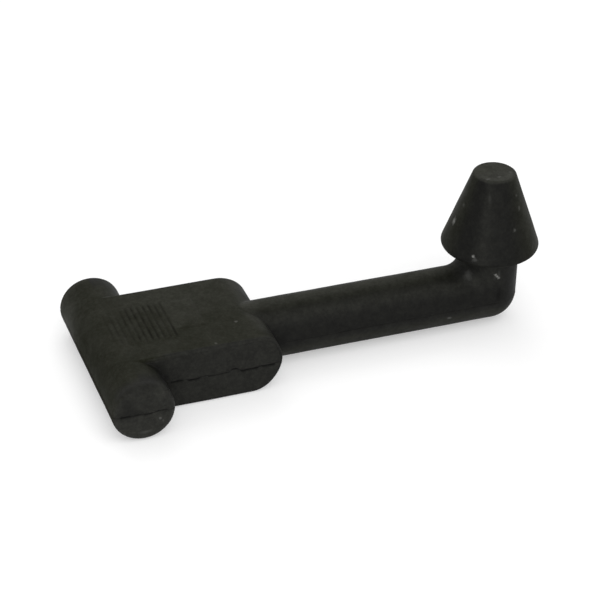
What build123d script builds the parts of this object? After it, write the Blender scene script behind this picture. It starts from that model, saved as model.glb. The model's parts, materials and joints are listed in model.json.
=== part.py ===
from build123d import *
import math
import os

# Rubber T draw latch, moulded in one piece.
#
# X runs along the pull rod, from the tee bar to the elbow. Y runs along the
# tee bar. Z is up, along the anchor head. The origin is on the underside, on
# the centre line, halfway along the latch. All lengths are in millimetres.

# Tee bar, whose free ends drop into the keeper's two hooks
bar_diameter = 13.0
bar_length = 43.0
end_ease_along = 1.4
end_ease_across = 1.6

# Thumb pad, as thick as the tee bar, ending in a half-round nose
pad_width = 25.4
pad_reach = 31.8
pad_edge_round = 0.8

# Grip ribs across the pad's top, for the thumb. The group starts over the tee
# bar, and its middle lies this far from the bar's axis.
rib_count = 10
rib_pitch = 1.25
rib_length = 13.2
rib_foot = 0.8
rib_height = 0.15
rib_side_slope = 60.0
ribs_from_bar = 5.15

# Pull rod, the part that stretches, and its run from tee bar to neck
rod_diameter = 12.7
bar_to_neck = 83.0

# Neck, the same round section turned up, and the room it leaves for a panel
panel_gap = 5.0
throat_round = 4.0

# Anchor head, pushed through the panel's hole from below. Its diameter is
# over the rounded rim, and its side leans in from the rim to the crown.
head_diameter = 20.9
head_height = 17.5
head_side_lean = 19.7
head_rim_round = 0.7
head_crown_round = 0.8

# Places worked out from the sizes above
bar_radius = bar_diameter / 2
rod_radius = rod_diameter / 2
head_radius = head_diameter / 2
axis_height = bar_radius
bar_x = bar_radius - (bar_radius + bar_to_neck + head_radius) / 2
nose_x = bar_x + pad_reach - bar_radius
neck_x = bar_x + bar_to_neck
shoulder_height = axis_height + rod_radius + panel_gap
crown_height = shoulder_height + head_height

# The ribs are drawn from below the surface, so that the one over the bar's
# falling crest is seated too. Their sides slope all the way down.
rib_root = rib_height
rib_root_spread = 2 * rib_root / math.tan(math.radians(rib_side_slope))

# Reach of the head's two sharp corners from its axis, before their rounding:
# the side touches the rim's round where its normal leans up by the same angle
lean = math.radians(head_side_lean)
rim_corner_excess = head_rim_round * ((1 + math.sin(lean)) / math.cos(lean) - 1)
shoulder_reach = head_radius + rim_corner_excess
crown_reach = shoulder_reach - head_height * math.tan(lean)

with BuildPart() as rubber_latch:
    # Thumb pad: a slab with two half-round ends, one on the tee bar's axis
    # and one at the rod. Its side edges are rounded before the bar joins it.
    with BuildSketch(Plane.XZ):
        with Locations(((bar_x + nose_x) / 2, axis_height)):
            SlotCenterToCenter(nose_x - bar_x, bar_diameter)
    extrude(amount=pad_width / 2, both=True)
    pad_sides = rubber_latch.faces().filter_by(Axis.Y)
    fillet(pad_sides.edges(), radius=pad_edge_round)

    # Tee bar: flush with both faces of the pad. A quarter of an ellipse eases
    # each end, and reaches further across the end than along the bar.
    with BuildSketch(Plane.XY.offset(axis_height)):
        with BuildLine():
            ease = EllipticalCenterArc(
                (bar_x + bar_radius - end_ease_across, bar_length / 2 - end_ease_along),
                end_ease_across,
                end_ease_along,
                arc_size=90,
            )
            Line((bar_x + bar_radius, 0), ease @ 0)
            Line(ease @ 1, (bar_x, bar_length / 2))
            mirror(about=Plane.XZ)
            Line((bar_x, -bar_length / 2), (bar_x, bar_length / 2))
        make_face()
    revolve(axis=Axis((bar_x, 0, axis_height), (0, 1, 0)))

    # Grip ribs: low ridges with sloping sides, moulded onto the pad's top
    with BuildSketch(Plane.XZ):
        with Locations((bar_x + ribs_from_bar, bar_diameter - rib_root)):
            with GridLocations(rib_pitch, rib_height, rib_count, 1):
                Trapezoid(
                    rib_foot + rib_root_spread,
                    rib_root + rib_height,
                    rib_side_slope,
                    align=(Align.CENTER, Align.MIN),
                )
    extrude(amount=rib_length / 2, both=True)

    # Pull rod: from the centre of the pad's nose to the elbow
    with BuildSketch(Plane.YZ.offset(nose_x)):
        with Locations((0, axis_height)):
            Circle(rod_radius)
    extrude(amount=neck_x - nose_x)

    # Elbow: a ball of the rod's own radius closes the outer corner
    with Locations((neck_x, 0, axis_height)):
        Sphere(rod_radius)

    # Neck: from the ball up to the shoulder of the head
    with BuildSketch(Plane.XY.offset(axis_height)):
        with Locations((neck_x, 0)):
            Circle(rod_radius)
    extrude(amount=shoulder_height - axis_height)

    # Throat: the inner crease of the elbow is eased where rod and neck cross
    elbow_crease = rubber_latch.edges().filter_by(GeomType.ELLIPSE)
    fillet(elbow_crease, radius=throat_round)

    # Anchor head: a blunt cone whose flat shoulder overhangs the neck
    with BuildSketch(Plane.XZ) as head_section:
        with BuildLine():
            Polyline(
                (neck_x, shoulder_height),
                (neck_x + shoulder_reach, shoulder_height),
                (neck_x + crown_reach, crown_height),
                (neck_x, crown_height),
                close=True,
            )
        make_face()
        crown_corner = head_section.vertices().sort_by(Axis.X)[-2]
        fillet(crown_corner, radius=head_crown_round)
        rim_corner = head_section.vertices().sort_by(Axis.X)[-1]
        fillet(rim_corner, radius=head_rim_round)
    revolve(axis=Axis((neck_x, 0, 0), (0, 0, 1)))

rubber_latch.part.label = "rubber_latch"

os.makedirs("parts", exist_ok=True)
export_step(rubber_latch.part, "parts/rubber_latch.step")
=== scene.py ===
"""Looks of a rubber T draw latch: one moulding with its parting seam, grip ribs and wear.

The moulding is worked out as two closed grids, the tee bar with its thumb pad
and the rod with its neck and anchor head, which are joined into one skin.
Lengths are in millimetres until a mesh is written, in the frame of the part:
X along the pull rod, Y along the tee bar, Z up along the anchor head.
"""

from __future__ import annotations

import json
import logging
import math
from dataclasses import dataclass, field
from enum import Enum

import bpy
import numpy as np
from mathutils import Matrix, Vector


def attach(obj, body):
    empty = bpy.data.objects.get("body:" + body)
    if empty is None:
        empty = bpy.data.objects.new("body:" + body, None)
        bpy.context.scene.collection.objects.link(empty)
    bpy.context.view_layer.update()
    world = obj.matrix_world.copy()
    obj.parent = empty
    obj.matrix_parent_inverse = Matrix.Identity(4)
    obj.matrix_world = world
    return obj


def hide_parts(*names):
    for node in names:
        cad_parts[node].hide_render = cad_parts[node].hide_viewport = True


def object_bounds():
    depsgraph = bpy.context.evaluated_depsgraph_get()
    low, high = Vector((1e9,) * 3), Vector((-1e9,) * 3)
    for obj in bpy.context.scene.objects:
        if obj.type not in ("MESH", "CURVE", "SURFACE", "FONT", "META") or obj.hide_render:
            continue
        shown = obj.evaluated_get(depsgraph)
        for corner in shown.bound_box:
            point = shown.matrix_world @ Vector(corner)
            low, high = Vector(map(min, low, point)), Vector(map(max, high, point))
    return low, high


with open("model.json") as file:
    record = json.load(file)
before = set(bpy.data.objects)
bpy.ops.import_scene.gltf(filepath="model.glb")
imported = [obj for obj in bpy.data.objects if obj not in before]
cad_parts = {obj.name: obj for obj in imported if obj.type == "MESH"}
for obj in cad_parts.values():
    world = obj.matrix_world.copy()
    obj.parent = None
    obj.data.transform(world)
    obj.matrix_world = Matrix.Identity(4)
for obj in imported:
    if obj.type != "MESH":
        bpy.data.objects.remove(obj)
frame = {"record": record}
CAD_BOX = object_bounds()

METRES = 0.001
NODE = "rubber_latch"

log = logging.getLogger("draw_latch")

Array = np.ndarray
Socket = bpy.types.NodeSocket
Inputs = bpy.types.NodeInputs
Outputs = bpy.types.NodeOutputs
Triple = tuple[float, float, float]

FLAT = 0.02  # how far off a flat face a point of it may lie, in millimetres


# ---- helpers


def mount(name: str) -> dict:
    """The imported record's mount of this name."""
    return next(m for m in frame["record"]["mounts"] if m["name"] == name)


def smooth_step(low: float, high: float, value: Array) -> Array:
    """0 below low, 1 above high, and 3t^2 - 2t^3 between, where t is the share of the way."""
    t = np.clip((value - low) / (high - low), 0.0, 1.0)
    return t * t * (3.0 - 2.0 * t)


def fade(low: float, high: float, value: Array) -> Array:
    """1 below low and 0 above high: 1 less the smooth step."""
    return 1.0 - smooth_step(low, high, value)


def window(value: Array, low: float, high: float, soft: float) -> Array:
    """1 between low and high, 0 outside, with edges eased over soft on each side."""
    return smooth_step(low - soft, low + soft, value) * fade(high - soft, high + soft, value)


def bell(value: Array, middle: float, width: float) -> Array:
    """A bell curve of height 1: exp(-((value - middle) / width)^2)."""
    return np.exp(-(((value - middle) / width) ** 2))


def steps(count: int, start: float = 0.0, stop: float = 1.0) -> Array:
    """Count even steps from start, which is left out, to stop."""
    return np.linspace(start, stop, count + 1)[1:]


def lattice_noise(points: Array, scale: float, seed: int) -> Array:
    """Smooth noise from -1 to 1: random values on a cubic lattice, eased between its corners.

    Args:
        points: N by 3 array of places in millimetres.
        scale: spacing of the lattice in millimetres.
        seed: picks the random values.

    Returns:
        One value for each point.
    """
    rng = np.random.default_rng(seed)
    table = rng.uniform(-1.0, 1.0, 4096)
    place = points / scale + 1000.0
    cell = np.floor(place).astype(np.int64)
    part = place - cell
    ease = part * part * (3.0 - 2.0 * part)
    total = np.zeros(len(points))
    for corner in range(8):
        step = np.array([corner & 1, corner >> 1 & 1, corner >> 2 & 1])
        key = (cell + step) @ np.array([73856093, 19349663, 83492791])
        weight = np.prod(np.where(step == 1, ease, 1.0 - ease), axis=1)
        total += weight * table[key % len(table)]
    return total


def weld(grid: Array, tolerance: float = 1e-4) -> tuple[Array, Array]:
    """Joins equal points of a closed grid and cuts its cells into triangles.

    Each cell (i, j) has corners (i, j), (i+1, j), (i+1, j+1) and (i, j+1), and
    the second index runs round a loop, so its last column meets its first.

    Args:
        grid: rows by columns by 3 array of points.
        tolerance: points that round to the same multiple of this are one.

    Returns:
        The points and the triangles, as an index array with three columns.
    """
    rows, columns, _ = grid.shape
    flat = grid.reshape(-1, 3)
    keys = np.round(flat / tolerance).astype(np.int64)
    _, first, inverse = np.unique(keys, axis=0, return_index=True, return_inverse=True)
    inverse = inverse.reshape(rows, columns)
    a, b = inverse[:-1], inverse[1:]
    c, d = np.roll(b, -1, axis=1), np.roll(a, -1, axis=1)
    triangles = np.concatenate([np.stack(half, -1).reshape(-1, 3) for half in ((a, b, c), (a, c, d))])
    i, j, k = triangles.T
    return flat[first], triangles[(i != j) & (j != k) & (k != i)]


def place_object(name: str, data: bpy.types.ID) -> bpy.types.Object:
    """A new object for this data, linked into the scene."""
    thing = bpy.data.objects.new(name, data)
    bpy.context.scene.collection.objects.link(thing)
    return thing


def mesh_object(name: str, points: Array, faces: Array) -> bpy.types.Object:
    """A mesh object from points in millimetres and faces, with its origin at 0."""
    mesh = bpy.data.meshes.new(name)
    mesh.from_pydata((points * METRES).tolist(), [], faces.tolist())
    mesh.update()
    return place_object(name, mesh)


def triples(rows: bpy.types.bpy_prop_collection, name: str) -> Array:
    """A property of three numbers, read from all rows of a mesh's table, N by 3."""
    flat = np.empty(len(rows) * 3, np.float32)
    rows.foreach_get(name, flat)
    return flat.reshape(-1, 3).astype(float)


def set_points(mesh: bpy.types.Mesh, points: Array) -> None:
    """Writes points in millimetres back into the mesh."""
    mesh.vertices.foreach_set("co", (points * METRES).astype(np.float32).ravel())
    mesh.update()


def set_mask(mesh: bpy.types.Mesh, name: str, values: Array) -> None:
    """Stores one number for each point, which a material reads by name."""
    layer = mesh.attributes.new(name, "FLOAT", "POINT")
    layer.data.foreach_set("value", values.astype(np.float32))


# ---- sizes


@dataclass(frozen=True)
class LatchSizes:
    """Sizes that both grids share, in millimetres. Those that the frame holds come from it."""

    bar_radius: float = mount("bar_end_left")["dims"]["r_mm"]
    rod_radius: float = mount("neck")["dims"]["r_mm"]
    bar_x: float = mount("bar_end_left")["pos_m"][0] / METRES
    neck_x: float = mount("neck")["pos_m"][0] / METRES
    half_bar: float = CAD_BOX[1].y / METRES
    crown_z: float = CAD_BOX[1].z / METRES
    head_radius: float = CAD_BOX[1].x / METRES - mount("neck")["pos_m"][0] / METRES
    pad_reach: float = 31.8
    half_pad: float = 12.7
    seam_steps: tuple[float, ...] = (0.05, 0.11, 0.18, 0.28, 0.42, 0.62)

    @property
    def mid_z(self) -> float:
        """Height of the parting plane, through the axes of bar and rod."""
        return self.bar_radius

    @property
    def nose_x(self) -> float:
        """Place of the axis of the pad's half-round nose."""
        return self.bar_x + self.pad_reach - self.bar_radius


def arc_angles(radius: float, seam_steps: tuple[float, ...], count: int) -> Array:
    """Angles from 0 to a quarter turn, first close beside the seam and then evenly spaced."""
    close = np.arcsin(np.array((0.0, *seam_steps)) / radius)
    rest = np.linspace(close[-1], math.pi / 2, count + 1)[1:]
    return np.concatenate([close, rest])


@dataclass
class TeeAndPad:
    """Tee bar and thumb pad: an outline in X and Z carried along Y, from pole to pole.

    The outline is a circle on the bar's free ends and a slot with two half-round
    ends across the pad. Both share the back of the bar. On the pad's side, each
    point moves straight from the circle to the slot.
    """

    sizes: LatchSizes
    end_ease_along: float = 1.4
    end_ease_across: float = 1.6
    pad_edge_round: float = 0.8
    back_columns: int = 26
    nose_columns: int = 30
    top_columns: int = 118
    under_columns: int = 40
    disc_rows: int = 12
    round_rows: int = 6
    free_rows: int = 18
    wall_rows: int = 64
    across_rows: int = 50
    top_turn: float = math.radians(68.0)

    def outlines(self) -> tuple[Array, ...]:
        """The circle and the slot, column for column.

        Returns:
            Two arrays of points (x, z), z measured from the parting plane. Both
            start at the back seam and run over the top, round the nose and back.
        """
        s, r = self.sizes, self.sizes.bar_radius
        quarter = math.pi / 2
        back = arc_angles(r, s.seam_steps, self.back_columns)
        nose = arc_angles(r, s.seam_steps, self.nose_columns)
        slack = 1.0 - self.top_turn / quarter
        nose_on_circle = nose * (1.0 - slack * (nose / quarter) ** 2)

        def arc(centre: float, turns: Array, way: float = 1.0) -> Array:
            """Points on a circle of the bar's radius, by angles up from +X, or from -X."""
            return np.stack([centre + way * r * np.cos(turns), r * np.sin(turns)], -1)

        def half(columns: int) -> tuple[Array, Array]:
            """The upper half of circle and slot, with this many columns on the flat."""
            share = steps(columns)[:-1]
            rear = arc(s.bar_x, back, -1.0)
            crest = arc(s.bar_x, quarter + (self.top_turn - quarter) * share)
            top = np.stack([s.bar_x + (s.nose_x - s.bar_x) * share, np.full(len(share), r)], -1)
            circle = np.concatenate([rear, crest, arc(s.bar_x, nose_on_circle)[::-1]])
            return circle, np.concatenate([rear, top, arc(s.nose_x, nose)[::-1]])

        flip = np.array([1.0, -1.0])
        pairs = zip(half(self.top_columns), half(self.under_columns))
        return tuple(np.concatenate([upper, (lower * flip)[::-1][1:-1]]) for upper, lower in pairs)

    def inset(self, place: Array) -> Array:
        """Distance in from the slot's outline, for places (x, z) beside the pad."""
        s = self.sizes
        beyond = np.maximum(place[..., 0] - s.nose_x, 0.0)
        return s.bar_radius - np.hypot(beyond, place[..., 1])

    def side_reach(self, inset: Array) -> Array:
        """Half width of the pad at an inset: full on its side, then a quarter round."""
        e = self.pad_edge_round
        short = np.clip(e - inset, 0.0, e)
        return self.sizes.half_pad - e + np.sqrt(np.maximum(e * e - short * short, 0.0))

    def share_at(self, circle: Array, slot: Array, start: Array, wanted: Array) -> Array:
        """How far each point has to go from circle to slot for its inset to sink to a given one.

        The stretch from start to 1 is halved forty times.

        Args:
            circle: places (x, z) where the points set out.
            slot: the places that they move straight to.
            start: shares of the way at which the inset is still deep enough.
            wanted: the inset to reach, in millimetres.

        Returns:
            A share of the way for each point.
        """
        low, high = start, np.ones(len(circle))
        for _ in range(40):
            middle = (low + high) / 2
            deep = self.inset(circle + (slot - circle) * middle[:, None]) > wanted
            low, high = np.where(deep, middle, low), np.where(deep, high, middle)
        return (low + high) / 2

    def half_grid(self) -> Array:
        """Rows from the pole of one bar end to the pad's flat top, on the side of -Y."""
        s, r, e = self.sizes, self.sizes.bar_radius, self.pad_edge_round
        circle, slot = self.outlines()
        centre = np.array([s.bar_x, 0.0])
        spoke = (circle - centre) / r
        disc_radius = r - self.end_ease_across

        def row(place: Array, reach: Array) -> Array:
            """One row, from places (x, z) and the reach of each along -Y."""
            return np.stack([place[:, 0], -reach, place[:, 1] + s.mid_z], -1)

        full = np.ones(len(circle))
        disc = np.linspace(0.0, disc_radius, self.disc_rows)
        rows = [row(centre + spoke * rho, full * s.half_bar) for rho in disc]
        for turn in steps(self.round_rows, 0.0, math.pi / 2):
            rho = disc_radius + self.end_ease_across * math.sin(turn)
            reach = s.half_bar - self.end_ease_along * (1.0 - math.cos(turn))
            rows.append(row(centre + spoke * rho, full * reach))

        on_back = circle[:, 0] <= s.bar_x + 1e-9
        junction_inset = np.where(on_back, 0.0, self.inset(circle))
        junction_reach = self.side_reach(junction_inset)
        start_reach = s.half_bar - self.end_ease_along
        for share in steps(self.free_rows):
            rows.append(row(circle, start_reach + (junction_reach - start_reach) * share))

        edge_inset = np.minimum(e, np.maximum(junction_inset, 1e-9))
        round_start = self.share_at(circle, slot, np.zeros(len(circle)), edge_inset)
        round_start = np.where(junction_inset > e, round_start, 0.0)
        for share in steps(self.wall_rows):
            place = circle + (slot - circle) * (round_start * share)[:, None]
            rows.append(row(place, np.where(on_back, junction_reach, self.side_reach(self.inset(place)))))
        first_turn = np.arcsin(np.clip(1.0 - np.minimum(junction_inset, e) / e, 0.0, 1.0))
        for share in np.linspace(0.0, 1.0, self.round_rows)[1:]:
            turn = first_turn + (math.pi / 2 - first_turn) * share
            way = self.share_at(circle, slot, round_start, e * (1.0 - np.sin(turn)))
            place = slot if share >= 1.0 else circle + (slot - circle) * way[:, None]
            rows.append(row(place, np.where(on_back, junction_reach, s.half_pad - e + e * np.cos(turn))))
        return np.stack(rows)

    def grid(self) -> Array:
        """The whole closed grid, from the pole at -Y to the pole at +Y."""
        near = self.half_grid()
        far = near[::-1] * np.array([1.0, -1.0, 1.0])
        share = steps(self.across_rows)[:-1]
        across = near[-1][None] + (far[0] - near[-1])[None] * share[:, None, None]
        return np.concatenate([near, across, far])


@dataclass
class RodNeckHead:
    """Pull rod, ball elbow, neck and anchor head: a loop carried along the centre line."""

    sizes: LatchSizes
    throat_round: float = 4.0
    shoulder_z: float = 17.85
    side_lean: float = math.radians(19.7)
    rim_round: float = 0.7
    crown_round: float = 0.8
    buried: float = 3.0
    side_columns: int = 19
    rod_rows: int = 96
    elbow_rows: int = 26
    neck_rows: int = 8
    shoulder_rows: int = 7
    rim_rows: int = 6
    cone_rows: int = 34
    crown_rows: int = 6
    disc_rows: int = 8

    def turns(self) -> Array:
        """Angles round the loop, from the top towards -Y, close together beside both seams."""
        quarter = arc_angles(self.sizes.rod_radius, self.sizes.seam_steps, self.side_columns)
        up = math.pi / 2 - quarter[::-1]
        first = np.concatenate([up, math.pi - up[::-1][1:]])
        return np.concatenate([first[:-1], first[:-1] + math.pi])

    def grid(self) -> Array:
        """The whole closed grid, from a pole inside the pad to the pole of the crown."""
        s, r = self.sizes, self.sizes.rod_radius
        turns = self.turns()
        sine, cosine = np.sin(turns), np.cos(turns)
        upper, lower = np.maximum(cosine, 0.0), np.maximum(-cosine, 0.0)
        side = -r * sine

        def put(x: Array, y: Array, z: Array) -> Array:
            """One loop, from arrays or single numbers."""
            return np.stack([x + 0 * sine, y + 0 * sine, z + 0 * sine], -1)

        start = s.nose_x - self.buried
        stop = s.neck_x - (r + self.throat_round) * upper
        disc = np.linspace(0.0, 1.0, self.disc_rows)
        rows = [put(start, side * share, s.mid_z + r * cosine * share) for share in disc]
        for share in steps(self.rod_rows):
            rows.append(put(start + (stop - start) * share, side, s.mid_z + r * cosine))
        for share in steps(self.elbow_rows):
            rows.append(self.elbow_row(share, sine, upper, lower))
        neck_start = s.mid_z + (r + self.throat_round) * upper
        for share in steps(self.neck_rows):
            height = neck_start + (self.shoulder_z - neck_start) * share
            rows.append(put(s.neck_x - r * cosine, side, height))
        for radius, height in self.head_profile():
            rows.append(put(s.neck_x - radius * cosine, -radius * sine, height))
        return np.stack(rows)

    def elbow_row(self, share: float, sine: Array, upper: Array, lower: Array) -> Array:
        """One loop of the elbow.

        Its outer half turns about the Y axis through the corner, which makes a
        ball. Its inner half is the arc of a ball of the throat's radius that
        touches rod and neck: between the two directions of touch by equal angles.

        Args:
            share: share of the quarter turn from rod to neck.
            sine: sine of each column's angle round the loop, from the top.
            upper: its cosine on the upper half, and 0 below.
            lower: its cosine turned positive on the lower half, and 0 above.

        Returns:
            The loop's points, one for each column.
        """
        s, r, fillet = self.sizes, self.sizes.rod_radius, self.throat_round
        turn = share * math.pi / 2
        outer_x = s.neck_x + r * lower * math.sin(turn)
        outer_z = s.mid_z - r * lower * math.cos(turn)
        angle = np.arccos(np.clip(sine * sine, -1.0, 1.0))
        sin_angle = np.maximum(np.sin(angle), 1e-9)
        from_rod = np.sin((1.0 - share) * angle) / sin_angle
        from_neck = np.sin(share * angle) / sin_angle
        inner_x = s.neck_x - (r + fillet) * upper + fillet * upper * from_neck
        inner_z = s.mid_z + (r + fillet) * upper - fillet * upper * from_rod
        inner_y = -(r + fillet) * sine + fillet * sine * (from_rod + from_neck)
        inner = upper > 1e-6
        x, z = np.where(inner, inner_x, outer_x), np.where(inner, inner_z, outer_z)
        return np.stack([x, np.where(inner, inner_y, -r * sine), z], -1)

    def head_profile(self) -> list[tuple[float, float]]:
        """Radius and height of each loop of the head, from the shoulder to the crown's pole."""
        s, lean = self.sizes, self.side_lean
        rim_centre = s.head_radius - self.rim_round
        corner = rim_centre + self.rim_round * (1 + math.sin(lean)) / math.cos(lean)
        top_corner = corner - (s.crown_z - self.shoulder_z) * math.tan(lean)
        crown_centre = top_corner - self.crown_round * (1 - math.sin(lean)) / math.cos(lean)

        def arc(centre: float, height: float, radius: float, turns: Array) -> list[tuple[float, float]]:
            """Points on a round, by angles up from the way out."""
            return [(centre + radius * math.cos(turn), height + radius * math.sin(turn)) for turn in turns]

        shoulder = steps(self.shoulder_rows, s.rod_radius, rim_centre)
        profile = [(radius, self.shoulder_z) for radius in shoulder]
        rim_turns = steps(self.rim_rows, -math.pi / 2, lean)
        profile += arc(rim_centre, self.shoulder_z + self.rim_round, self.rim_round, rim_turns)
        crown_turns = np.linspace(lean, math.pi / 2, self.crown_rows + 1)
        crown = arc(crown_centre, s.crown_z - self.crown_round, self.crown_round, crown_turns)
        low, high = profile[-1], crown[0]
        for share in steps(self.cone_rows):
            profile.append((low[0] + (high[0] - low[0]) * share, low[1] + (high[1] - low[1]) * share))
        top = [(crown_centre * share, s.crown_z) for share in steps(self.disc_rows, 1.0, 0.0)]
        return profile + crown[1:] + top


# ---- details


@dataclass(frozen=True)
class Tear:
    """A stretch of the seam where the trimmed flash tore a deeper crevice, along X."""

    start: float
    end: float
    depth: float
    width: float
    rise: float = 0.0

    def along(self, x: Array) -> Array:
        """1 on this stretch and 0 off it, eased at both ends."""
        return window(x, self.start, self.end, 0.25)


@dataclass(frozen=True)
class PartingSeam:
    """The line where the mould's halves met: a fine crevice between two faint lips."""

    sizes: LatchSizes
    depth: float = 0.12
    width: float = 0.13
    lip: float = 0.035
    lip_offset: float = 0.34
    lip_width: float = 0.13
    # crevice depth at which the seam's darkening, dirt with painted shade, is full
    dirt_and_shade_depth: float = 0.27
    near_tears: tuple[Tear, ...] = (
        Tear(-35.6, -33.0, 0.22, 0.28, -0.1),
        Tear(-31.9, -29.3, 0.22, 0.26, -0.35),
        Tear(-27.6, -23.0, 0.16, 0.22, -0.3),
        Tear(-22.7, -21.2, 0.18, 0.24, 0.3),
        Tear(-20.6, -16.7, 0.24, 0.32, -0.5),
        Tear(-16.3, -13.2, 0.24, 0.32, -0.35),
    )
    end_tears: tuple[Tear, ...] = (
        Tear(-49.4, -46.3, 0.22, 0.28, 0.08),
        Tear(-46.0, -44.2, 0.16, 0.2, 0.08),
        Tear(-43.8, -42.0, 0.22, 0.26, -0.15),
        Tear(-41.3, -38.9, 0.18, 0.22, 0.2),
    )
    far_tears: tuple[Tear, ...] = (
        Tear(-34.6, -31.8, 0.32, 0.2, 0.1),
        Tear(-29.9, -25.0, 0.22, 0.17, -0.15),
        Tear(-24.1, -22.4, 0.3, 0.2, 0.3),
        Tear(-19.0, -14.6, 0.38, 0.22, -0.1),
    )

    def tears_at(self, y: Array) -> list[tuple[Array, Tear]]:
        """Each tear with a mask of the points on its own side or on the bar's ends."""
        s = self.sizes
        on_end = np.abs(y) > (s.half_bar + s.half_pad) / 2
        near, far = (y < 0) & ~on_end, (y > 0) & ~on_end
        groups = ((near, self.near_tears), (on_end, self.end_tears), (far, self.far_tears))
        return [(on.astype(float), tear) for on, tears in groups for tear in tears]

    def rise(self, points: Array) -> Array:
        """How far the seam wanders above the parting plane on the flat side faces."""
        total = 0.07 * lattice_noise(points * np.array([1.0, 0.02, 0.0]), 1.7, 11)
        for on, tear in self.tears_at(points[:, 1]):
            total = total + on * tear.rise * tear.along(points[:, 0])
        return total

    def follow(self, grid: Array) -> Array:
        """Moves the loops beside the seam up or down with it, where the face is flat.

        A point goes up by the seam's rise, times a share that is 1 at the seam
        and 0 at 2.4 mm from it, and 0 where the face turns away from Y.
        """
        s = self.sizes
        points = grid.reshape(-1, 3)
        x, y, z = points.T
        on_end = np.abs(y) > s.half_bar - FLAT
        on_pad = np.abs(np.abs(y) - s.half_pad) < FLAT
        past_bar = smooth_step(0.1, 0.6, np.hypot(x - s.bar_x, z - s.mid_z) - s.bar_radius)
        before_nose = fade(s.nose_x + 4.2, s.nose_x + 5.4, x)
        share = on_end * fade(3.9, 4.9, np.abs(x - s.bar_x)) + on_pad * past_bar * before_nose
        moved = points.copy()
        moved[:, 2] += share * fade(0.5, 2.4, np.abs(z - s.mid_z)) * self.rise(points)
        return moved.reshape(grid.shape)

    def carve(self, points: Array, normals: Array) -> tuple[Array, Array]:
        """Depth of the crevice, and a mask that darkens it: dirt in the seam with painted shade.

        Depth is a bell curve over the height from the seam, deeper and wider
        in the tears, and it fades where the face doesn't stand upright.

        Args:
            points: the skin's points in millimetres.
            normals: their normals.

        Returns:
            Offset along the normal in millimetres, and a mask from 0 to 1.
        """
        s = self.sizes
        x, y, z = points.T
        flat_side = (np.abs(normals[:, 1]) > 0.98) & (x < s.nose_x + 4.8)
        height = z - s.mid_z - np.where(flat_side, self.rise(points), 0.0)
        upright = fade(0.35, 0.75, np.abs(normals[:, 2]))
        on_neck = smooth_step(s.neck_x - 1.5, s.neck_x + 1.5, x)
        break_up = 0.75 + 0.5 * lattice_noise(points, 1.3, 5)
        depth = self.depth * break_up * (1.0 - 0.8 * on_neck)
        width = np.full(len(points), self.width)
        for side, tear in self.tears_at(y):
            on = side * tear.along(x) * flat_side
            depth = depth + on * (tear.depth * (0.8 + 0.35 * break_up) - depth)
            width = width + on * (tear.width - width)
        crevice = depth * bell(height, 0.0, width)
        rough_lip = self.lip * (0.6 + 0.6 * lattice_noise(points, 0.9, 7))
        lips = rough_lip * bell(np.abs(height), self.lip_offset, self.lip_width)
        return upright * (lips - crevice), np.clip(upright * crevice / self.dirt_and_shade_depth, 0.0, 1.0)


@dataclass(frozen=True)
class GripRibs:
    """Fine ribs across the top, from the bar's crest to the middle of the pad."""

    count: int = 10
    pitch: float = 1.25
    last_x: float = -32.7
    half_length: float = 6.6
    height: float = 0.15
    valley_shade: float = 0.52
    # strength of the painted highlight along the ribs' crests
    crest_highlight: float = 0.09
    contrast_places: tuple[float, ...] = (-44.0, -42.0, -40.5, -37.5, -35.0, -32.7)
    contrasts: tuple[float, ...] = (0.7, 0.8, 1.35, 1.55, 1.25, 1.05)

    def contrast(self, x: Array) -> Array:
        """How strongly the ribs' tones show: straight runs between set places across them."""
        return np.interp(x, self.contrast_places, self.contrasts)

    def wave(self, x: Array) -> Array:
        """A raised cosine of the place across the ribs: 1 on a crest and 0 midway between two."""
        return 0.5 + 0.5 * np.cos((x - self.last_x) / self.pitch * 2.0 * math.pi)

    def across(self, x: Array, margin: float) -> Array:
        """1 from the first rib to the last and for a margin beyond each, in pitches."""
        first_x = self.last_x - self.pitch * (self.count - 1)
        return window(x, first_x - margin * self.pitch, self.last_x + margin * self.pitch, 0.12)

    def raise_up(self, points: Array, normals: Array) -> Array:
        """Rounded ridges: height times the wave across them, worn unevenly."""
        x, y, _ = points.T
        along = window(y, -self.half_length, self.half_length, 0.35)
        worn = 0.75 + 0.45 * lattice_noise(points, 2.1, 21)
        facing = smooth_step(0.8, 0.9, normals[:, 2])
        return self.height * self.wave(x) * along * self.across(x, 0.5) * worn * facing

    def shade(self, points: Array, normals: Array) -> Array:
        """Painted shade in the valleys: highest midway between ribs, and most beside the last rib."""
        x, y, _ = points.T
        valley = (1.0 - self.wave(x)) ** 3 * self.across(x, 0.9)
        along = window(y, -self.half_length + 0.5, self.half_length, 0.8)
        last = 1.0 + 0.5 * smooth_step(self.last_x, self.last_x + self.pitch / 2, x)
        patchy = 0.8 + 0.7 * lattice_noise(points, 1.6, 23)
        facing = smooth_step(0.6, 0.9, normals[:, 2])
        shade = self.valley_shade * self.contrast(x) * valley
        return np.clip(shade * along * last * patchy * facing, 0.0, 1.0)

    def bloom(self, points: Array) -> Array:
        """Painted highlight along the ribs' crests, where their tones show more than plainly."""
        x, y, z = points.T
        along = window(y, -self.half_length, self.half_length, 0.6) * (z > 12.0)
        patchy = 0.8 + 0.8 * lattice_noise(points, 1.3, 27)
        more = np.clip(2.0 * (self.contrast(x) - 1.0), 0.0, 1.0)
        return self.crest_highlight * self.wave(x) ** 2 * along * patchy * more


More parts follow.
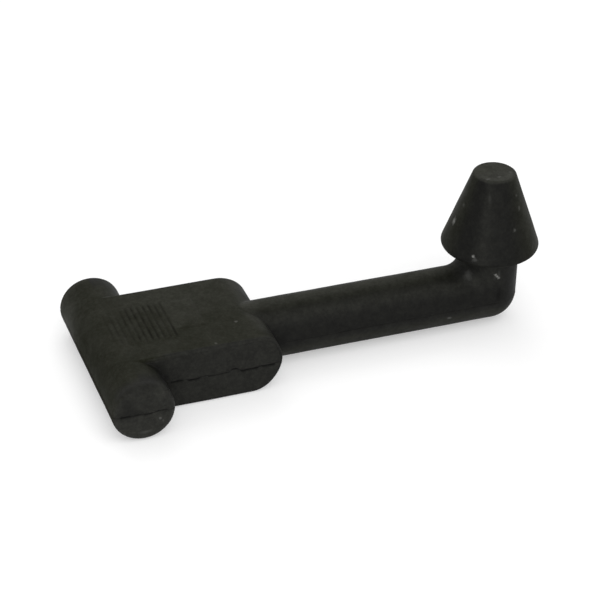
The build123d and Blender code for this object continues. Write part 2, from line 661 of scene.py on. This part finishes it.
@dataclass(frozen=True)
class BlankPlate:
    """A low raised plate on the pad's top, left bare, with a dull lighter face and painted shade along its
    near edge.
    """

    start_x: float = -31.75
    end_x: float = -25.4
    start_y: float = -3.8
    end_y: float = 6.6
    height: float = 0.07
    bloom: float = 0.14
    shade: float = 0.35

    def inside(self, points: Array, normals: Array) -> Array:
        """1 on the plate's rectangle, with edges eased over a quarter of a millimetre."""
        x, y, _ = points.T
        area = window(x, self.start_x, self.end_x, 0.12) * window(y, self.start_y, self.end_y, 0.12)
        return area * smooth_step(0.8, 0.9, normals[:, 2])

    def edge_shade(self, points: Array) -> Array:
        """Painted shade along the plate's near edge, a bell curve across it."""
        x, y, z = points.T
        along = window(x, self.start_x - 0.3, self.end_x, 0.5) * smooth_step(11.0, 12.0, z)
        return self.shade * along * bell(y, self.start_y - 0.15, 0.2)


class Mark(Enum):
    """What shows inside a nick: pale torn rubber, or darkening that is dirt with painted shade."""

    PALE = "scuff"
    DARK = "crevice"


@dataclass(frozen=True)
class Nick:
    """A small cut or dent: an ellipsoid pressed into the skin round a place."""

    place: Triple
    half_size: Triple
    depth: float
    mark: Mark
    strength: float

    def share(self, points: Array) -> Array:
        """1 at the middle of the nick, falling to 0 over its half size."""
        away = (points - np.array(self.place)) / np.array(self.half_size)
        return np.exp(-np.sum(away * away, axis=1))


@dataclass(frozen=True)
class Speck:
    """A pale chip, scuff or painted highlight: where it is, how far it reaches each way, and how strong it
    is.
    """

    place: Triple
    half_size: Triple
    strength: float


def nose_fullness(sizes: LatchSizes, points: Array) -> Array:
    """How the pad's nose stands out of its half round, as a shift of each point.

    Along X, over the height h from -1 to 1, the shift is a half wave of 0.38 mm
    from h = -0.25 to 1, and one of -0.2 mm from h = -1 to -0.25. Away from the
    nose's axis, a bell curve of 0.75 mm round 54 degrees fills the upper corner
    of the near side, and it fades towards the middle.
    """
    x, y, z = points.T
    ahead, above = x - sizes.nose_x, z - sizes.mid_z
    height = np.clip(above / sizes.bar_radius, -1.0, 1.0)
    upper = 0.38 * np.sin(np.pi * np.clip((height + 0.25) / 1.25, 0.0, 1.0))
    lower = 0.20 * np.sin(np.pi * np.clip((-height - 0.25) / 0.75, 0.0, 1.0))
    forward = (upper - lower) * window(ahead, 2.0, 9.0, 1.8)
    reach = np.maximum(np.hypot(ahead, above), 1e-6)
    turn = np.degrees(np.arctan2(above, ahead))
    corner = 0.75 * bell(turn, 54.0, 20.0) * smooth_step(0.0, 2.0, ahead)
    corner = corner * smooth_step(1.0, 6.0, -y) * fade(7.2, 9.0, reach)
    return np.stack([forward + corner * ahead / reach, 0.0 * y, corner * above / reach], -1)


def waviness(points: Array) -> Array:
    """The slight unevenness of moulded rubber: two sizes of smooth noise, in millimetres."""
    return 0.03 * lattice_noise(points, 7.0, 31) + 0.012 * lattice_noise(points, 2.2, 32)


# ---- finish


class Pattern(Enum):
    """Noise patterns of the finish, each with its scale per metre and its detail."""

    CLOUDS = (150.0, 3.0)
    MOTTLE = (520.0, 4.0)
    FLOW = (1400.0, 5.0)
    GRAIN = (3200.0, 3.0)


class NodeKit:
    """Short ways to add nodes to one tree."""

    def __init__(self, tree: bpy.types.NodeTree) -> None:
        """Keeps the tree that the nodes go into."""
        self.tree = tree

    def put(self, kind: str, **settings: object) -> bpy.types.Node:
        """A new node of this kind with its settings."""
        node = self.tree.nodes.new(kind)
        for name, value in settings.items():
            setattr(node, name, value)
        return node

    def feed(self, socket: Socket, value: object) -> None:
        """Links a socket into an input, or sets the input to a number or colour."""
        if isinstance(value, Socket):
            self.tree.links.new(value, socket)
        elif isinstance(value, tuple):
            socket.default_value = (*value, 1.0)
        else:
            socket.default_value = value

    def math(self, operation: str, a: object, b: object, clamp: bool = False) -> Socket:
        """The result of a math node."""
        node = self.put("ShaderNodeMath", operation=operation, use_clamp=clamp)
        self.feed(node.inputs[0], a)
        self.feed(node.inputs[1], b)
        return node.outputs[0]

    def blend(self, share: object, a: object, b: object) -> Socket:
        """A colour that goes from a to b as share goes from 0 to 1."""
        node = self.put("ShaderNodeMix", data_type="RGBA")
        # the node's colour sockets share their names with its other kinds
        for place, value in ((0, share), (6, a), (7, b)):
            self.feed(node.inputs[place], value)
        return node.outputs[2]

    def remap(
        self, value: object, low: float, high: float, to_low: float, to_high: float
    ) -> Socket:
        """The value with low to high stretched over to_low to to_high, and held beyond."""
        node = self.put("ShaderNodeMapRange")
        for socket, number in zip(node.inputs[:5], (value, low, high, to_low, to_high)):
            self.feed(socket, number)
        return node.outputs[0]

    def vector(self, operation: str, a: object, b: object) -> Socket:
        """The vector that a vector math node gives."""
        node = self.put("ShaderNodeVectorMath", operation=operation)
        self.feed(node.inputs[0], a)
        self.feed(node.inputs["Scale" if operation == "SCALE" else 1], b)
        return node.outputs[0]

    def noise(self, place: object, pattern: Pattern) -> Socket:
        """A noise value of this pattern over places."""
        node = self.put("ShaderNodeTexNoise")
        for name, value in zip(("Vector", "Scale", "Detail"), (place, *pattern.value)):
            self.feed(node.inputs[name], value)
        return node.outputs["Fac"]

    def layered(self, coarse: object, middle: object, fine: object) -> Socket:
        """0.35 of the coarse value, 0.35 of the middle one and 0.3 of the fine one."""
        both = self.math("ADD", self.math("MULTIPLY", coarse, 0.35), self.math("MULTIPLY", middle, 0.35))
        return self.math("ADD", both, self.math("MULTIPLY", fine, 0.3))

    def mask(self, name: str) -> Socket:
        """A mask that the skin stores for each point."""
        return self.put("ShaderNodeAttribute", attribute_name=name).outputs["Fac"]

    def place_group(self, tree: bpy.types.NodeTree, **inputs: object) -> Outputs:
        """Places a group, feeds its inputs by name and gives its outputs."""
        node = self.put("ShaderNodeGroup", node_tree=tree)
        for name, value in inputs.items():
            self.feed(node.inputs[name], value)
        return node.outputs


SOCKET_KINDS = {"Place": "NodeSocketVector", "Normal": "NodeSocketVector", "Colour": "NodeSocketColor"}


def new_group(name: str, *labels: str, gives: tuple[str, ...]) -> tuple[NodeKit, Outputs, Inputs]:
    """An empty node group with named sockets, each a number unless SOCKET_KINDS says otherwise.

    Args:
        name: the group's name.
        labels: the names of its inputs.
        gives: the names of its outputs.

    Returns:
        A kit on the group's tree, what the group is given, and what it is to give.
    """
    tree = bpy.data.node_groups.new(name, "ShaderNodeTree")
    for side, sockets in (("INPUT", labels), ("OUTPUT", gives)):
        for label in sockets:
            kind = SOCKET_KINDS.get(label, "NodeSocketFloat")
            tree.interface.new_socket(label, in_out=side, socket_type=kind)
    kit = NodeKit(tree)
    return kit, kit.put("NodeGroupInput").outputs, kit.put("NodeGroupOutput").inputs


def cloudy_group() -> bpy.types.NodeTree:
    """Group that makes a colour uneven: lighter and darker clouds, mottled finer inside."""
    kit, given, result = new_group("cloudy_tone", "Place", "Colour", "Spread", gives=("Colour", "Clouds"))
    patterns = (Pattern.CLOUDS, Pattern.MOTTLE, Pattern.FLOW)
    clouds, mottle, flow = (kit.noise(given["Place"], pattern) for pattern in patterns)
    mixed = kit.layered(clouds, mottle, flow)
    centred = kit.math("MULTIPLY", kit.math("SUBTRACT", mixed, 0.5), given["Spread"])
    scaled = kit.vector("SCALE", given["Colour"], kit.math("ADD", centred, 1.0))
    kit.feed(result["Colour"], scaled)
    kit.feed(result["Clouds"], clouds)
    return kit.tree


def dust_group() -> bpy.types.NodeTree:
    """Group for dust that lies in patches: a mask that is clear in places and full in others."""
    kit, given, result = new_group("settled_dust", "Place", "Amount", gives=("Mask",))
    patterns = (Pattern.MOTTLE, Pattern.FLOW, Pattern.GRAIN)
    layers = (kit.remap(kit.noise(given["Place"], pattern), 0.44, 0.62, 0.0, 1.0) for pattern in patterns)
    kit.feed(result["Mask"], kit.math("MULTIPLY", kit.layered(*layers), given["Amount"], clamp=True))
    return kit.tree


def speck_group(specks: tuple["Speck", ...]) -> bpy.types.NodeTree:
    """Group for small pale chips and scuffs, and a few painted highlights, each an uneven blob round its
    place.

    The mask of a speck falls from its strength to 0 over its half size, and
    noise makes the distance uneven.

    Args:
        specks: the marks, in millimetres.

    Returns:
        The group, which takes a place and gives the strongest mark there.
    """
    kit, given, result = new_group("pale_specks", "Place", gives=("Mask",))
    place = given["Place"]
    ragged = kit.remap(kit.noise(place, Pattern.FLOW), 0.35, 0.65, 0.7, 1.4)
    total: object = 0.0
    for speck in specks:
        away = kit.vector("SUBTRACT", place, [length * METRES for length in speck.place])
        shrunk = kit.vector("DIVIDE", away, [length * METRES for length in speck.half_size])
        reach = kit.put("ShaderNodeVectorMath", operation="LENGTH")
        kit.feed(reach.inputs[0], shrunk)
        uneven = kit.math("MULTIPLY", reach.outputs["Value"], ragged)
        total = kit.math("MAXIMUM", total, kit.remap(uneven, 0.3, 1.15, speck.strength, 0.0))
    kit.feed(result["Mask"], total)
    return kit.tree


def grain_group() -> bpy.types.NodeTree:
    """Group that gives the skin its fine grain, as a normal, from a depth in metres."""
    kit, given, result = new_group("moulded_grain", "Place", "Depth", gives=("Normal",))
    bump = kit.put("ShaderNodeBump")
    kit.feed(bump.inputs["Strength"], 1.0)
    kit.feed(bump.inputs["Distance"], given["Depth"])
    kit.feed(bump.inputs["Height"], kit.noise(given["Place"], Pattern.GRAIN))
    kit.feed(result["Normal"], bump.outputs[0])
    return kit.tree


@dataclass(frozen=True)
class BlackRubber:
    """Moulded black rubber, dull, with settled dust and pale specks, and with painted light and shade: an
    olive tint where light falls from above, lighter grey on lit faces, a few painted highlights among the
    specks, and painted shade with some dirt in crevices.
    """

    side: Triple = (0.0036, 0.0036, 0.0034)
    # olive colour of the faces that look up: painted warm light from above
    top: Triple = (0.0026, 0.0030, 0.0012)
    # grey that the skin is lightened towards by its mask: mostly painted light on lit faces and painted
    # highlights, with plain grey on the blank plate
    bloom: Triple = (0.0230, 0.0232, 0.0200)
    dust: Triple = (0.0500, 0.0510, 0.0430)
    side_gloss: Triple = (1.0, 1.0, 0.95)
    # yellowish gloss tint of the faces that look up: painted warm light in their reflections
    top_gloss: Triple = (1.0, 1.0, 0.6)
    side_dust: float = 0.10
    top_dust: float = 0.20
    # colour of the crevice mask: painted shade in creases, rib valleys and corners, with dirt in the seam
    crevice: Triple = (0.0012, 0.0012, 0.0012)
    scuff: Triple = (0.20, 0.20, 0.19)
    # extra pale dust where the skin is painted lighter, which adds to the painted light
    dust_on_painted_light: float = 0.35
    spread: float = 0.9
    roughness: float = 0.6
    specular: float = 0.10
    grain_depth: float = 0.00002
    specks: tuple[Speck, ...] = (
        Speck((-19.15, -4.88, 13.0), (0.45, 0.35, 0.4), 0.25),
        Speck((-25.5, -11.2, 13.0), (0.32, 0.35, 0.4), 0.2),
        Speck((-14.1, -7.6, 11.55), (0.45, 0.5, 0.6), 0.2),
        Speck((-40.4, -21.5, 4.9), (0.35, 0.4, 0.4), 0.25),
        Speck((-39.8, -21.3, 4.1), (0.3, 0.5, 0.4), 0.12),
        # painted reflection of the floor on the lower rim of the bar's near end
        Speck((-43.6, -21.5, 2.2), (1.7, 0.5, 0.45), 0.10),
        Speck((28.4, -6.1, 4.75), (0.55, 0.5, 0.45), 0.28),
        Speck((33.35, -3.4, 12.9), (0.9, 0.9, 1.2), 0.12),
        Speck((38.5, -6.3, 13.75), (0.38, 0.5, 0.35), 0.8),
        Speck((38.9, -6.34, 13.3), (0.38, 0.5, 0.35), 0.9),
        Speck((39.3, -6.34, 12.9), (0.38, 0.5, 0.35), 0.6),
        Speck((32.5, -7.05, 20.0), (0.4, 0.45, 0.45), 0.8),
        Speck((32.75, -7.5, 19.4), (0.7, 0.7, 0.5), 0.15),
        Speck((41.3, -7.9, 25.25), (0.45, 0.4, 0.5), 0.18),
        Speck((43.0, -5.7, 29.1), (0.4, 0.5, 0.6), 0.15),
        Speck((42.5, -4.9, 31.8), (0.4, 0.4, 0.4), 0.12),
        Speck((31.25, 0.7, 24.5), (0.6, 0.75, 0.9), 0.65),
        Speck((32.7, -0.4, 28.8), (0.4, 0.5, 0.5), 0.12),
        # painted highlight: a faint streak down the head's cone
        Speck((36.5, -4.8, 32.0), (0.4, 0.7, 1.5), 0.05),
        # painted highlights on the crown's lit rim
        Speck((39.6, -2.3, 35.3), (0.6, 0.35, 0.4), 0.2),
        Speck((36.9, -2.4, 35.3), (0.6, 0.35, 0.4), 0.18),
        Speck((42.6, -1.2, 35.3), (0.4, 0.6, 0.4), 0.12),
    )

    def build(self) -> bpy.types.Material:
        """Makes the material, with its pattern on Object coordinates and the skin's masks."""
        material = bpy.data.materials.new("black_rubber")
        material.use_nodes = True
        kit = NodeKit(material.node_tree)
        shader = material.node_tree.nodes["Principled BSDF"]
        place = kit.put("ShaderNodeTexCoord").outputs["Object"]

        # Olive tint where the upward mask lies: painted warm light from above on the faces that look up.
        base = kit.blend(kit.mask("upward"), self.side, self.top)
        # Painted light: the skin is lightened towards grey on lit faces and in painted highlight bands.
        greyed_and_lit = kit.blend(kit.mask("bloom"), base, self.bloom)
        uneven = kit.place_group(cloudy_group(), Place=place, Colour=greyed_and_lit, Spread=self.spread)
        lying = kit.remap(kit.mask("upward"), 0.0, 1.0, self.side_dust, self.top_dust)
        # More dust where the skin is painted lighter, so the painted light grows paler still.
        amount = kit.math("ADD", lying, kit.math("MULTIPLY", kit.mask("bloom"), self.dust_on_painted_light))
        settled = kit.place_group(dust_group(), Place=place, Amount=amount)
        dusty = kit.blend(settled["Mask"], uneven["Colour"], self.dust)
        # Painted shade: darkening in crevices, rib valleys and corners, with dirt in the seam.
        darkened = kit.blend(kit.mask("crevice"), dusty, self.crevice)
        specks = kit.place_group(speck_group(self.specks), Place=place)
        marks = kit.math("MAXIMUM", specks["Mask"], kit.mask("scuff"))
        kit.feed(shader.inputs["Base Color"], kit.blend(marks, darkened, self.scuff))

        # Yellowish reflections on the faces that look up: painted warm light.
        gloss = kit.blend(kit.mask("upward"), self.side_gloss, self.top_gloss)
        kit.feed(shader.inputs["Specular Tint"], gloss)
        kit.feed(shader.inputs["Specular IOR Level"], self.specular)
        low, high = self.roughness - 0.06, self.roughness + 0.08
        rough = kit.remap(uneven["Clouds"], 0.3, 0.7, low, high)
        dulled = kit.remap(kit.mask("dull"), 0.0, 1.0, 0.0, 1.0 - self.roughness)
        kit.feed(shader.inputs["Roughness"], kit.math("ADD", rough, dulled, clamp=True))
        grain = kit.place_group(grain_group(), Place=place, Depth=self.grain_depth)
        kit.feed(shader.inputs["Normal"], grain["Normal"])
        return material


# ---- stage


@dataclass(frozen=True)
class Viewpoint:
    """Where the camera stands: angles in degrees, lengths in millimetres."""

    azimuth: float = 20.445
    elevation: float = 33.037
    roll: float = 1.247
    distance: float = 454.1
    focal_length: float = 130.11
    sensor_width: float = 36.0
    target: Triple = (-3.37, 0.0, 12.02)

    def build(self) -> bpy.types.Object:
        """Makes the camera and gives it to the scene."""
        turn, tilt, roll = map(math.radians, (self.azimuth, self.elevation, self.roll))
        level = math.cos(tilt)
        view = Vector((math.sin(turn) * level, math.cos(turn) * level, -math.sin(tilt)))
        right = Vector((math.cos(turn), -math.sin(turn), 0.0))
        up = right.cross(view)
        across = math.cos(roll) * right + math.sin(roll) * up
        upward = -math.sin(roll) * right + math.cos(roll) * up
        data = bpy.data.cameras.new("view_camera")
        data.lens, data.sensor_width = self.focal_length, self.sensor_width
        data.clip_start, data.clip_end = 0.01, 20.0
        camera = place_object("view_camera", data)
        turned = Matrix((across, upward, -view)).transposed().to_4x4()
        place = (Vector(self.target) - self.distance * view) * METRES
        camera.matrix_world = Matrix.Translation(place) @ turned
        bpy.context.scene.camera = camera
        return camera


def area_light(
    name: str, place: Triple, size: float, watts: float
) -> bpy.types.Object:
    """A square soft light at a place in metres, aimed at the origin."""
    data = bpy.data.lights.new(name, "AREA")
    data.size, data.energy = size, watts
    lamp = place_object(name, data)
    lamp.location = place
    lamp.rotation_euler = (-Vector(place)).to_track_quat("-Z", "Y").to_euler()
    return lamp


def seen_directly(kit: NodeKit) -> Socket:
    """1 for rays that show a surface as it is, to the camera or in a gloss, and 0 for light."""
    path = kit.put("ShaderNodeLightPath").outputs
    camera_or_gloss = kit.math("MAXIMUM", path["Is Camera Ray"], path["Is Glossy Ray"])
    return kit.math("MAXIMUM", camera_or_gloss, path["Is Transmission Ray"])


def build_world(strength: float) -> None:
    """A pale surround: white where it is seen, and a plain soft light on everything else."""
    world = bpy.data.worlds.new("pale_surround")
    bpy.context.scene.world = world
    world.use_nodes = True
    world.node_tree.nodes.clear()
    kit = NodeKit(world.node_tree)
    mix = kit.put("ShaderNodeMixShader")
    kit.feed(mix.inputs[0], seen_directly(kit))
    for socket, level in zip(mix.inputs[1:], (strength, 1.0)):
        backdrop = kit.put("ShaderNodeBackground")
        kit.feed(backdrop.inputs["Color"], (1.0, 1.0, 1.0))
        kit.feed(backdrop.inputs["Strength"], level)
        kit.feed(socket, backdrop.outputs[0])
    kit.feed(kit.put("ShaderNodeOutputWorld").inputs[0], mix.outputs[0])


def build_floor(half_size: float, lift: float) -> bpy.types.Object:
    """The pale floor that the latch lies on, which keeps its shadow.

    Args:
        half_size: half the floor's width in millimetres.
        lift: light added to it where it is seen, so that it shows white. It lights nothing.

    Returns:
        The floor.
    """
    corners = half_size * np.array([(-1, -1, 0), (1, -1, 0), (1, 1, 0), (-1, 1, 0)])
    floor = mesh_object("floor", corners, np.array([(0, 1, 2, 3)]))
    material = bpy.data.materials.new("pale_floor")
    material.use_nodes = True
    material.node_tree.nodes.clear()
    kit = NodeKit(material.node_tree)
    paper, glow = kit.put("ShaderNodeBsdfDiffuse"), kit.put("ShaderNodeEmission")
    kit.feed(paper.inputs["Color"], (0.72, 0.72, 0.72))
    kit.feed(glow.inputs["Strength"], kit.math("MULTIPLY", seen_directly(kit), lift))
    both = kit.put("ShaderNodeAddShader")
    kit.feed(both.inputs[0], paper.outputs[0])
    kit.feed(both.inputs[1], glow.outputs[0])
    kit.feed(kit.put("ShaderNodeOutputMaterial").inputs[0], both.outputs[0])
    floor.data.materials.append(material)
    return floor


# ---- assembly


class SkinPlaces:
    """The skin's points and normals, with the measures that its masks share.

    Angles are in degrees: turn goes round the bar from its top to its back, and
    round_head goes round the head from its near side towards +X.
    """

    def __init__(self, sizes: LatchSizes, points: Array, normals: Array) -> None:
        """Works the measures out from points in millimetres and their normals."""
        s = sizes
        self.x, self.y, self.z = points.T
        self.aside, self.up = normals[:, 1], normals[:, 2]
        self.reach = np.abs(self.y)
        self.from_bar = np.hypot(self.x - s.bar_x, self.z - s.mid_z)
        self.turn = np.degrees(np.arctan2(s.bar_x - self.x, self.z - s.mid_z))
        self.from_neck = np.hypot(self.x - s.neck_x, self.y)
        self.round_head = np.degrees(np.arctan2(self.x - s.neck_x, -self.y))
        self.off_disc = fade(0.3, 0.8, np.abs(self.aside))
        on_surface = fade(0.05, 0.3, np.hypot(self.y, self.z - s.mid_z) - s.rod_radius)
        near_nose = smooth_step(s.nose_x + 1.0, s.nose_x + 3.0, self.x) * on_surface
        self.rod = np.maximum(near_nose, smooth_step(s.nose_x + 8.0, s.nose_x + 12.0, self.x))


@dataclass(frozen=True)
class Band:
    """A band of painted light: a bell curve over an angle in degrees."""

    strength: float
    middle: float
    width: float

    def at(self, angle: Array) -> Array:
        """The band's grey at each angle."""
        return self.strength * bell(angle, self.middle, self.width)


@dataclass(frozen=True)
class EndHighlight:
    """A stretch of painted highlight round the rim of the bar's near end, by its distances from axis and
    end.
    """

    band: Band
    from_axis: float
    from_end: float
    spread: float

    def at(self, places: SkinPlaces, half_bar: float) -> Array:
        """The painted highlight: its band round the bar, times a bell curve away from the rim."""
        away = np.hypot(places.from_bar - self.from_axis, places.y + half_bar - self.from_end)
        return self.band.at(places.turn) * bell(away, 0.0, self.spread)


@dataclass
class Moulding:
    """The whole latch as one moulded skin."""

    sizes: LatchSizes = field(default_factory=LatchSizes)
    head_z: float = 18.3
    nicks: tuple[Nick, ...] = (
        Nick((38.95, -6.34, 13.35), (0.6, 0.4, 0.5), 0.10, Mark.PALE, 0.25),
        Nick((39.5, -6.34, 8.7), (0.6, 0.6, 1.5), 0.18, Mark.DARK, 0.6),
    )
    # painted highlights round the rim of the bar's near end
    end_highlights: tuple[EndHighlight, ...] = (
        EndHighlight(Band(0.45, -41.0, 13.0), 5.7, 0.5, 1.9),
        EndHighlight(Band(0.33, 70.0, 16.0), 6.3, 1.0, 1.2),
    )
    # painted highlight band along the back of the bar's far half
    back_highlight_band: Band = Band(1.1, 56.0, 18.0)
    # painted highlights along the rod: on its top, at 42 degrees to the side, and a painted reflection of
    # the floor low on its sides
    rod_highlight_bands: tuple[Band, ...] = (Band(0.34, 0.0, 12.0), Band(0.30, 42.0, 13.0), Band(0.26, 112.0, 15.0))
    # painted highlight bands down the side of the head's cone
    head_highlight_bands: tuple[Band, ...] = (Band(0.22, -34.0, 9.0), Band(0.15, 45.0, 10.0))

    def build(self) -> bpy.types.Object:
        """Joins the two grids into one closed skin."""
        seam = PartingSeam(self.sizes)
        tee = mesh_object("tee", *weld(seam.follow(TeeAndPad(self.sizes).grid())))
        rod = mesh_object("rod", *weld(RodNeckHead(self.sizes).grid()))
        joint = tee.modifiers.new("join", "BOOLEAN")
        joint.operation, joint.solver, joint.object = "UNION", "EXACT", rod
        bpy.context.view_layer.update()
        graph = bpy.context.evaluated_depsgraph_get()
        mesh = bpy.data.meshes.new_from_object(tee.evaluated_get(graph))
        mesh.name = "latch_moulding"
        skin = place_object("latch_moulding", mesh)
        for helper in (tee, rod):
            bpy.data.objects.remove(helper)
        self.detail(mesh, seam)
        return skin

    def detail(self, mesh: bpy.types.Mesh, seam: PartingSeam) -> None:
        """Presses seam, ribs, plate, nicks and unevenness into the skin, and stores its masks."""
        points = triples(mesh.vertices, "co") / METRES
        normals = triples(mesh.vertex_normals, "vector")
        ribs, plate = GripRibs(), BlankPlate()
        on_plate = plate.inside(points, normals)
        offset, crevice = seam.carve(points, normals)
        offset = offset + ribs.raise_up(points, normals) + plate.height * on_plate + waviness(points)
        masks = {Mark.PALE.value: np.zeros(len(points)), Mark.DARK.value: crevice}
        for nick in self.nicks:
            share = nick.share(points)
            offset = offset - nick.depth * share
            inside = nick.strength * smooth_step(0.1, 0.8, share)
            masks[nick.mark.value] = np.maximum(masks[nick.mark.value], inside)
        moved = points + normals * offset[:, None] + nose_fullness(self.sizes, points)
        low, high = (np.array(corner) / METRES for corner in CAD_BOX)
        set_points(mesh, np.clip(moved, low, high))
        places = SkinPlaces(self.sizes, points, normals)
        # painted shade in the rib valleys, along the plate's near edge, under the head and in the bar-pad
        # corners
        shades = (ribs.shade(points, normals), plate.edge_shade(points), self.painted_hollow_shade(places))
        masks["crevice"] = np.max((masks["crevice"], *shades), axis=0)
        masks["dull"] = np.maximum(0.5 * masks["crevice"], self.dull_back(places))
        masks["upward"] = self.olive_tint_and_warm_light(places)
        # lighter grey, mostly painted light: lit faces and highlight bands, the ribs' painted crest
        # highlight, and the blank plate's plain grey
        masks["bloom"] = self.tee_painted_light(places) + self.rod_painted_highlights(places) + self.head_painted_light(places)
        masks["bloom"] = masks["bloom"] + ribs.bloom(points) + plate.bloom * on_plate
        for name, values in masks.items():
            set_mask(mesh, name, np.clip(values, 0.0, 1.0))

    def olive_tint_and_warm_light(self, p: SkinPlaces) -> Array:
        """Where the skin gets an olive tint, from 0 to 1; on the faces that look up it is painted warm
        light from above.

        It lies on the faces that look up, on the bar's back and on the head's
        sides. The rod has some on top and a little below, and the bar's ends,
        the pad's long edges and the head's near side have none.
        """
        s = self.sizes
        on_rod = 0.25 + 0.4 * smooth_step(0.85, 1.0, p.up) + 0.35 * smooth_step(-1.0, 1.0, p.y)
        off_end = fade(s.half_bar - 6.5, s.half_bar - 1.5, p.reach)
        off_edge = 1.0 - window(p.reach, 11.9, 12.8, 0.25) * (p.x > s.bar_x + s.bar_radius)
        on_top = smooth_step(0.55, 1.0, p.up) * (1.0 - (1.0 - on_rod) * p.rod) * off_end * off_edge
        below = 0.4 * smooth_step(0.15, 0.35, -p.up) * p.rod
        corner = smooth_step(s.half_bar - 4.5, s.half_bar - 1.0, -p.y) * smooth_step(0.3, 0.8, p.up)
        on_back = smooth_step(-0.3, 0.0, p.up) * (p.x < s.bar_x) * p.off_disc * (1.0 - corner)
        sides = window(p.round_head, 22.0, 150.0, 22.0) + smooth_step(60.0, 90.0, -p.round_head)
        on_head = 0.8 * sides * (p.z > self.head_z) * (p.up < 0.9)
        return np.max([on_top, below, on_back, on_head], axis=0)

    def dull_back(self, p: SkinPlaces) -> Array:
        """Where the bar's back has lost its sheen, from its shoulder down to the seam."""
        shade = 0.4 * smooth_step(40.0, 70.0, p.turn) + 0.45 * smooth_step(80.0, 92.0, p.turn)
        shade = shade * fade(110.0, 150.0, p.turn) * fade(2.0, 15.0, p.y)
        return shade * (p.x < self.sizes.bar_x) * p.off_disc

    def painted_hollow_shade(self, p: SkinPlaces) -> Array:
        """Painted shade under the head and in the corners between bar and pad, where they are hidden from
        the light.
        """
        s = self.sizes
        shoulder = RodNeckHead.shoulder_z
        off_neck = p.from_neck > s.rod_radius + 0.3
        underside = off_neck * window(p.z, shoulder - 0.5, shoulder + 0.5, 0.25)
        below = window(p.z, shoulder - 1.8, shoulder, 0.9) * (p.from_neck < s.rod_radius + 0.3)
        along = p.reach - s.half_pad
        on_bar = bell(along, 0.0, 1.1) * (along > -0.05) * (p.from_bar < s.bar_radius + 0.06)
        past_bar = (p.from_bar > s.bar_radius + 0.03) & (p.x > s.bar_x) & (np.abs(along) < 0.9)
        on_pad = bell(p.from_bar, s.bar_radius, 1.6) * past_bar
        corner = on_bar * smooth_step(0.0, 3.0, p.x - s.bar_x) + on_pad
        corner = corner * fade(4.5, 6.4, p.z - s.mid_z) * (p.x < s.nose_x)
        return np.clip(0.85 * underside + 0.35 * below + 0.5 * corner, 0.0, 1.0)

    def tee_painted_light(self, p: SkinPlaces) -> Array:
        """Lighter grey on bar and pad, mostly painted light: lighter bar ends with painted highlights
        round their rims, a lighter far half, the pad's lighter rounded long edges, a painted highlight
        band on the nose and lighter flat sides.
        """
        s = self.sizes
        end = smooth_step(s.half_bar - 4.0, s.half_bar - 0.2, p.reach)
        end = end * (1.0 - 0.3 * np.clip(p.up, 0.0, 1.0) ** 2)
        end = end * (1.0 - 0.6 * window(p.turn, 40.0, 95.0, 12.0) * smooth_step(0.7, 1.0, -p.aside))
        grey = 0.34 * end + 0.22 * end * fade(s.mid_z - 4.0, s.mid_z + 4.0, p.z)
        for ring in self.end_highlights:
            grey = grey + ring.at(p, s.half_bar)
        in_front = np.minimum(np.abs(p.x - s.bar_x) / s.bar_radius, 1.0)
        around = np.where(p.x < s.bar_x, self.back_highlight_band.at(p.turn), in_front)
        on_pad = smooth_step(s.bar_x + 5.0, s.bar_x + 8.0, p.x) * (p.x < s.nose_x + s.bar_radius)
        far_bar = 0.3 * smooth_step(7.0, 19.0, p.y) * around * (1.0 - on_pad)
        far_pad = 0.24 * smooth_step(0.0, 12.0, p.y) * smooth_step(0.8, 0.98, p.up)
        edge = 0.32 * window(p.up, 0.3, 0.97, 0.1) * window(p.reach, 11.7, 12.75, 0.2)
        nose = window(np.degrees(np.arctan2(p.x - s.nose_x, p.z - s.mid_z)), 18.0, 36.0, 8.0)
        nose = 0.3 * nose * smooth_step(-10.5, -7.5, p.y) * (p.reach < s.half_pad - 0.5)
        flat_side = np.abs(p.reach - s.half_pad) < FLAT
        return grey + far_bar + on_pad * (far_pad + edge + nose) + 0.28 * flat_side

    def rod_painted_highlights(self, p: SkinPlaces) -> Array:
        """Painted highlights in bands along the rod, each a bell curve over the angle round it from its
        top.
        """
        s = self.sizes
        round_rod = np.degrees(np.arctan2(p.reach, p.z - s.mid_z))
        on_rod = p.rod * (p.z < self.head_z) * fade(s.neck_x - 2.0, s.neck_x + 4.0, p.x)
        return on_rod * sum(band.at(round_rod) for band in self.rod_highlight_bands)

    def head_painted_light(self, p: SkinPlaces) -> Array:
        """Painted light on the head: a lighter crown, a painted highlight on the crown's near rim, and
        painted highlight bands down its side.
        """
        crown = smooth_step(self.sizes.crown_z - 0.5, self.sizes.crown_z - 0.1, p.z)
        rim = 0.35 * window(p.from_neck, 2.7, 3.9, 0.3) * smooth_step(0.5, 2.0, -p.y)
        bands = sum(band.at(p.round_head) for band in self.head_highlight_bands)
        return crown * (0.6 + rim) + bands * (p.z >= self.head_z) * (1.0 - crown)


def main() -> None:
    """Builds the latch and its stage, and reports each piece."""
    logging.basicConfig(level=logging.INFO, format="%(message)s")
    skin = Moulding().build()
    skin.data.shade_smooth()
    skin.data.materials.clear()
    skin.data.materials.append(BlackRubber().build())
    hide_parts(NODE)
    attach(skin, "root")
    log.info("latch_moulding: %d points, %d faces", len(skin.data.vertices), len(skin.data.polygons))
    build_floor(half_size=3000.0, lift=0.36)
    build_world(strength=0.72)
    area_light("front_softbox", (0.0, -0.35, 0.61), 0.5, 1.0)
    area_light("back_softbox", (0.0, 0.5, 0.5), 0.5, 0.8)
    area_light("low_fill", (-0.24, -0.65, 0.15), 0.5, 2.2)
    Viewpoint().build()
    bpy.context.scene.view_settings.view_transform = "Standard"


if __name__ == "__main__":
    main()
